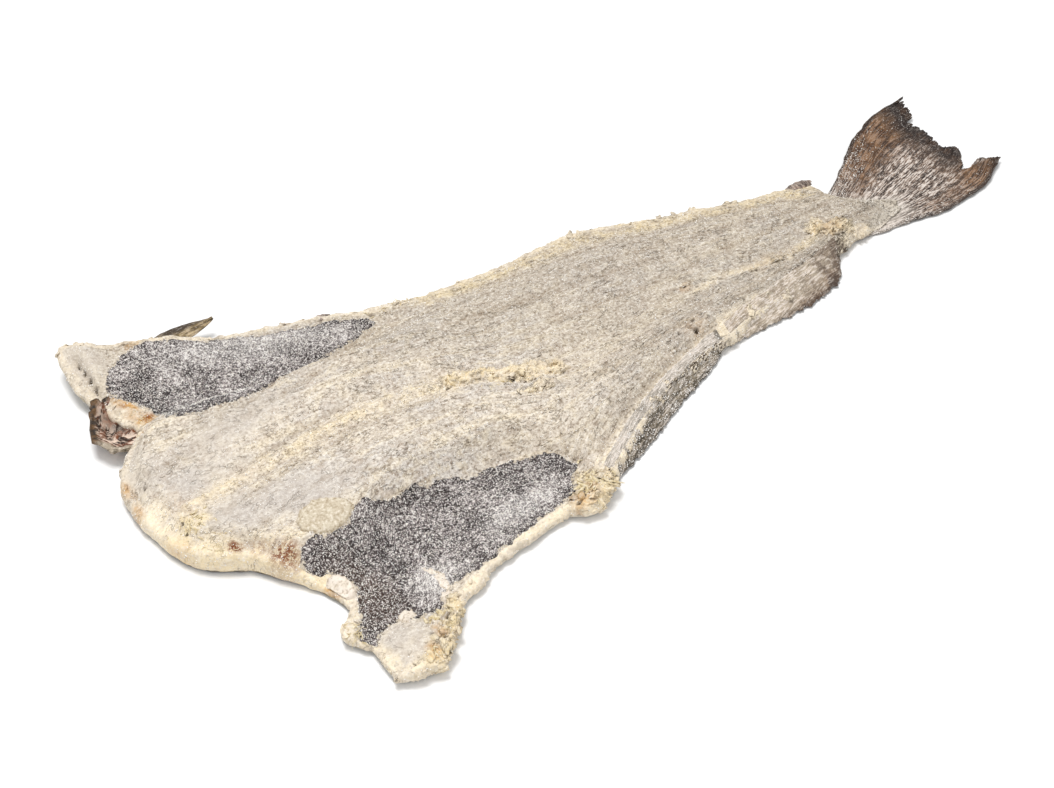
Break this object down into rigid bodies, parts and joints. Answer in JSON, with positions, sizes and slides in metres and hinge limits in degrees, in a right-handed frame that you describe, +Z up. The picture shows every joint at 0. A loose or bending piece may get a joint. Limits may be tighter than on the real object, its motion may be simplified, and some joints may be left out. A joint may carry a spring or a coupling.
{
  "type": "salted dried cod",
  "caption": "Whole split salted dried cod, opened flat with the cut flesh up, belly flaps spread and the tail fin on; food that lies on a table, board or counter.",
  "frame": {"origin": "on the table, under the middle of the fish's bounding box", "axes": "+X from the neck to the tail fin, +Y across towards the far belly flap, +Z up, with the cut flesh up and the skin down"},
  "size_m": [0.7028, 0.3582, 0.0289],
  "materials": {
    "dried_flesh": "dry, rough, salt-dusted cream and beige fish flesh with dark belly lining, cream cut edges and brown fins"
  },
  "bodies": {
    "root": {"dried_cod": "dried_flesh"}
  },
  "joints": []
}
